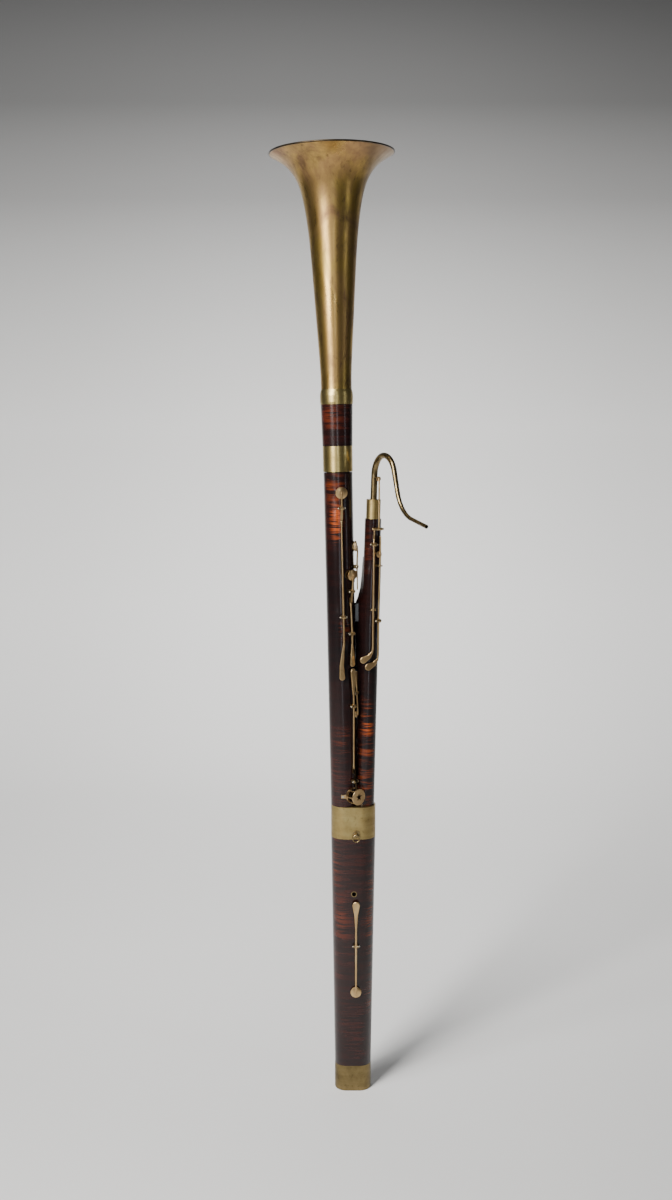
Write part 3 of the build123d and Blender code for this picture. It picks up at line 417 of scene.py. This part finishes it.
bell = {
    "foot": (-0.0127, 0.432),
    "lean": -0.0200,
    "skin": 0.0008,
    "segments": 128,
    "outline": [(0.0205, 1.0035), (0.0205, 1.024), (0.02045, 1.041), (0.0223, 1.074),
                (0.0244, 1.106), (0.0264, 1.138), (0.0284, 1.171), (0.0304, 1.203),
                (0.0330, 1.234), (0.0372, 1.266), (0.0412, 1.285), (0.0456, 1.300),
                (0.0531, 1.314), (0.0650, 1.3273), (0.0842, 1.3382)],
    "seamTurn": 38,
    "seamSpan": (0.594, 0.9035),
    "seamWide": 0.0030,
    "seamThick": 0.00022,
    "seamLift": 0.00004,
}


def makeBell():
    nothingSelected()
    firstRadius, firstHeight = bell["outline"][0]
    bpy.ops.mesh.primitive_circle_add(vertices=bell["segments"], radius=firstRadius,
                                      location=(0, 0, firstHeight - bell["foot"][1]))
    shell = bpy.context.object
    shell.name = "bellShell"
    bpy.ops.object.mode_set(mode="EDIT")
    bpy.ops.mesh.select_all(action="SELECT")
    for (r0, z0), (r1, z1) in zip(bell["outline"], bell["outline"][1:]):
        bpy.ops.mesh.extrude_region_move(TRANSFORM_OT_translate={"value": (0, 0, z1 - z0)})
        middle = (0, 0, z1 - bell["foot"][1])
        bpy.ops.transform.resize(value=(r1 / r0, r1 / r0, 1), center_override=middle)
    bpy.ops.mesh.select_all(action="SELECT")
    bpy.ops.mesh.normals_make_consistent(inside=False)
    bpy.ops.object.mode_set(mode="OBJECT")
    settle(shell)
    applied(shell, "SUBSURF", levels=2, render_levels=2)
    # The lap of the sheet's soldered seam, laid onto the shell and given its thickness.
    nothingSelected()
    low, high = bell["seamSpan"]
    bpy.ops.mesh.primitive_grid_add(x_subdivisions=6, y_subdivisions=260, size=1,
                                    location=(0, -0.12, (low + high) / 2),
                                    rotation=(math.pi / 2, 0, 0))
    seam = bpy.context.object
    seam.name = "bellSeam"
    seam.scale = (bell["seamWide"], high - low, 1)
    settle(seam)
    applied(seam, "SHRINKWRAP", target=shell, wrap_method="PROJECT", use_project_x=False,
            use_project_y=True, use_positive_direction=True, use_negative_direction=False,
            offset=bell["seamLift"])
    applied(seam, "SOLIDIFY", thickness=bell["seamThick"], offset=0)
    seam.rotation_euler = (0, 0, math.radians(bell["seamTurn"]))
    settle(seam)
    applied(shell, "SOLIDIFY", thickness=bell["skin"], offset=-1)
    for piece, finish in ((shell, "bellBrass"), (seam, "seamBrass")):
        onAxis(piece, bell["foot"], bell["lean"])
        smooth(piece, 35)
        piece.data.materials.append(finishes[finish])
        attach(piece, "bell")
    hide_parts("bell_flare")


makeBell()
print("bell spun")


# Tenon lappings: waxed thread wound side by side.

longAxis = {"foot": (-0.0127, 0.432), "lean": -0.0200}
wingAxis = {"foot": (0.0166, 0.432), "lean": 0.0253}
lappings = {
    "long_tenon_lapping": {"body": "long_joint", "axis": longAxis, "span": (-0.03390, -0.00810),
                           "outer": 0.01498, "inner": 0.01395, "turns": 30},
    "bell_tenon_lapping": {"body": "long_joint", "axis": longAxis, "span": (0.48360, 0.50440),
                           "outer": 0.01708, "inner": 0.01615, "turns": 24},
    "wing_tenon_lapping": {"body": "wing_joint", "axis": wingAxis, "span": (-0.03390, -0.00810),
                           "outer": 0.00938, "inner": 0.00835, "turns": 30},
    "crook_lapping": {"body": "crook_sleeve", "axis": wingAxis, "span": (0.40510, 0.43690),
                      "outer": 0.00583, "inner": 0.00490, "turns": 46},
}
# Each turn of thread: how far up the pitch it goes, and how deep into the groove.
threadShape = ((0.16, 0.35), (0.34, 0.0), (0.34, 0.35), (0.16, 1.0))
threadDip = 0.22


def windLapping(node, lap):
    nothingSelected()
    low, high = lap["span"]
    pitch = (high - low) / lap["turns"]
    dip = pitch * threadDip
    bpy.ops.mesh.primitive_circle_add(vertices=72, radius=lap["outer"] - dip, location=(0, 0, low))
    thread = bpy.context.object
    thread.name = node + "_thread"
    bpy.ops.object.mode_set(mode="EDIT")
    bpy.ops.mesh.select_all(action="SELECT")
    height, radius = low, lap["outer"] - dip
    for turn in range(lap["turns"]):
        for rise, depth in threadShape:
            height += pitch * rise
            wide = lap["outer"] - dip * depth
            bpy.ops.mesh.extrude_region_move(TRANSFORM_OT_translate={"value": (0, 0, pitch * rise)})
            bpy.ops.transform.resize(value=(wide / radius, wide / radius, 1),
                                     center_override=(0, 0, height))
            radius = wide
    bpy.ops.mesh.select_all(action="SELECT")
    bpy.ops.mesh.normals_make_consistent(inside=False)
    bpy.ops.object.mode_set(mode="OBJECT")
    settle(thread)
    applied(thread, "SOLIDIFY", thickness=lap["outer"] - lap["inner"] - dip, offset=-1)
    onAxis(thread, lap["axis"]["foot"], lap["axis"]["lean"])
    smooth(thread, 50)
    thread.data.materials.append(finishes["waxedThread"])
    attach(thread, lap["body"])
    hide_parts(node)


for node, lap in lappings.items():
    windLapping(node, lap)
print("tenons lapped")


# Key pads: kid leather drawn over felt, with the ring that the seat has pressed into it.

padding = {
    "segments": 56,
    "bodyShare": 0.66,
    "rings": ((0.10, 0.17), (0.10, 0.0), (0.05, -0.12), (0.05, 0.12), (0.30, 0.0)),
}


def discFrame(piece):
    points = np.empty(len(piece.data.vertices) * 3)
    piece.data.vertices.foreach_get("co", points)
    points = points.reshape(-1, 3)
    mean = points.mean(0)
    ways = np.linalg.eigh(np.cov((points - mean).T))[1]
    along = (points - mean) @ ways
    low, high = along.min(0), along.max(0)
    thick = high[0] - low[0]
    radius = (high[2] - low[2]) / 2
    centre = mean + ways @ ((high + low) / 2)
    return Vector(centre), Vector(ways[:, 0]), thick, radius


def bodyOf(node):
    groups = frame["record"]["behaviour"]["bodies"]
    return next(name for name, members in groups.items() if node in members)


def makePad(node):
    centre, way, thick, radius = discFrame(nodes[node])
    nothingSelected()
    bpy.ops.mesh.primitive_cylinder_add(vertices=padding["segments"], radius=radius,
                                        depth=thick * padding["bodyShare"], end_fill_type="NGON")
    disc = bpy.context.object
    disc.name = node + "_leather"
    bpy.ops.object.mode_set(mode="EDIT")
    for side in (-1, 1):
        bpy.ops.mesh.select_all(action="DESELECT")
        mesh = bmesh.from_edit_mesh(disc.data)
        for face in mesh.faces:
            face.select = face.normal.z * side > 0.9 and len(face.verts) > 4
        bmesh.update_edit_mesh(disc.data)
        bpy.ops.mesh.select_mode(type="FACE")
        for inward, outward in padding["rings"]:
            bpy.ops.mesh.inset(thickness=radius * inward, depth=0)
            bpy.ops.transform.translate(value=(0, 0, side * thick * outward))
        bpy.ops.mesh.poke()
    bpy.ops.object.mode_set(mode="OBJECT")
    applied(disc, "SUBSURF", levels=1, render_levels=1)
    disc.rotation_euler = way.to_track_quat("Z", "Y").to_euler()
    disc.location = centre
    settle(disc)
    smooth(disc, 60)
    disc.data.materials.append(finishes["kid"])
    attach(disc, bodyOf(node))
    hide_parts(node)


padNodes = [name for name in nodes if name.endswith("_pad")]
for node in padNodes:
    makePad(node)
print("pads seated:", len(padNodes))


# Stage, light and camera.

studio = {
    "floorFront": -4.5,
    "floorDepth": 1.5,
    "wallHeight": 4.5,
    "curve": 0.9,
    "curveSteps": 16,
    "halfWidth": 4.0,
    "paper": (1.0, 0.992, 0.975),
    "air": (0.86, 0.89, 0.93, 1),
    "airStrength": 0.06,
}
lamps = {
    "key softbox": {"place": (-1.30, -1.75, 1.75), "aim": (0, 0, 0.75), "size": (0.75, 1.6),
                    "power": 100, "colour": (1.0, 0.985, 0.96)},
    "strip at right": {"place": (1.6, -0.9, 1.2), "aim": (0, 0, 0.7), "size": (0.12, 1.5),
                       "power": 2.2, "colour": (0.90, 0.95, 1.0)},
    "wall wash": {"place": (-0.4, 1.1, 3.4), "aim": (0.1, 2.3, 3.0), "size": (3.2, 1.0),
                  "power": 170, "colour": (1, 1, 1)},
    "card by the camera": {"place": (0.05, -2.7, 0.55), "aim": (0, 0, 0.55), "size": (0.20, 2.4),
                           "power": 9.0, "colour": (0.88, 0.94, 1.0)},
    "high softbox": {"place": (-1.1, -1.1, 2.9), "aim": (0.1, 0.2, 0), "size": (1.0, 0.8),
                     "power": 65, "colour": (1, 1, 1)},
}


def makeStage():
    profile = [(studio["floorFront"], 0)]
    for n in range(studio["curveSteps"] + 1):
        turn = math.pi / 2 * n / studio["curveSteps"]
        profile.append((studio["floorDepth"] + studio["curve"] * math.sin(turn),
                        studio["curve"] * (1 - math.cos(turn))))
    profile.append((studio["floorDepth"] + studio["curve"], studio["wallHeight"]))
    bpy.ops.object.select_all(action="DESELECT")
    bpy.ops.mesh.primitive_plane_add(size=1)
    floor = bpy.context.object
    floor.name = "backdrop"
    verts, faces = [], []
    for y, z in profile:
        verts += [(-studio["halfWidth"], y, z), (studio["halfWidth"], y, z)]
    for n in range(len(profile) - 1):
        faces.append((2 * n, 2 * n + 1, 2 * n + 3, 2 * n + 2))
    floor.data.clear_geometry()
    floor.data.from_pydata(verts, [], faces)
    floor.data.shade_smooth()
    material, tree, shader = newMaterial("paper")
    # Painted light and shade: paler low down and in the middle, darker towards the top, the sides and
    # the front.
    place = axes(tree)
    height = calc(tree, "MULTIPLY", place["Z"], 0.42)
    tone = ramp(tree, height, [(0.0, grey(0.88)), (0.17, grey(0.86)), (0.40, grey(0.74)),
                               (0.57, grey(0.43)), (0.70, grey(0.19)), (0.82, grey(0.070)),
                               (0.96, grey(0.019))])
    near = ramp(tree, calc(tree, "ADD", place["Y"], 0.3), [(0.0, grey(0.82)), (0.9, grey(1))], True)
    tone = blendColours(tree, 1.0, tone, near, "MULTIPLY")
    offCentre = calc(tree, "ABSOLUTE", place["X"])
    aside = ramp(tree, offCentre, [(0.1, grey(1)), (1.0, grey(0.86))], True)
    tone = blendColours(tree, 1.0, tone, aside, "MULTIPLY")
    tone = blendColours(tree, 1.0, tone, studio["paper"], "MULTIPLY")
    forward = calc(tree, "ADD", place["Y"], 1.3, True)
    tone = blendColours(tree, forward, grey(0.42), tone)
    tree.links.new(tone, shader.inputs["Base Color"])
    shader.inputs["Roughness"].default_value = 0.9
    floor.data.materials.append(material)


def makeLight():
    for name, lamp in lamps.items():
        bpy.ops.object.light_add(type="AREA", location=lamp["place"])
        light = bpy.context.object
        light.name = name
        light.data.shape = "RECTANGLE"
        light.data.size, light.data.size_y = lamp["size"]
        light.data.energy = lamp["power"]
        light.data.color = lamp["colour"]
        way = Vector(lamp["aim"]) - Vector(lamp["place"])
        light.rotation_euler = way.to_track_quat("-Z", "Y").to_euler()
    world = bpy.data.worlds.new("studio air")
    bpy.context.scene.world = world
    world.use_nodes = True
    background = world.node_tree.nodes["Background"]
    background.inputs["Color"].default_value = studio["air"]
    background.inputs["Strength"].default_value = studio["airStrength"]


view = {"place": (-0.025, -1.849, 0.982), "down": 7.8, "sensor": 36, "lens": 39.6}


def makeCamera():
    bpy.ops.object.camera_add(location=view["place"],
                              rotation=(math.radians(90 - view["down"]), 0, 0))
    camera = bpy.context.object
    camera.name = "camera"
    camera.data.sensor_width = view["sensor"]
    camera.data.lens = view["lens"]
    bpy.context.scene.camera = camera


makeStage()
makeLight()
makeCamera()
print("stage, light and camera set")
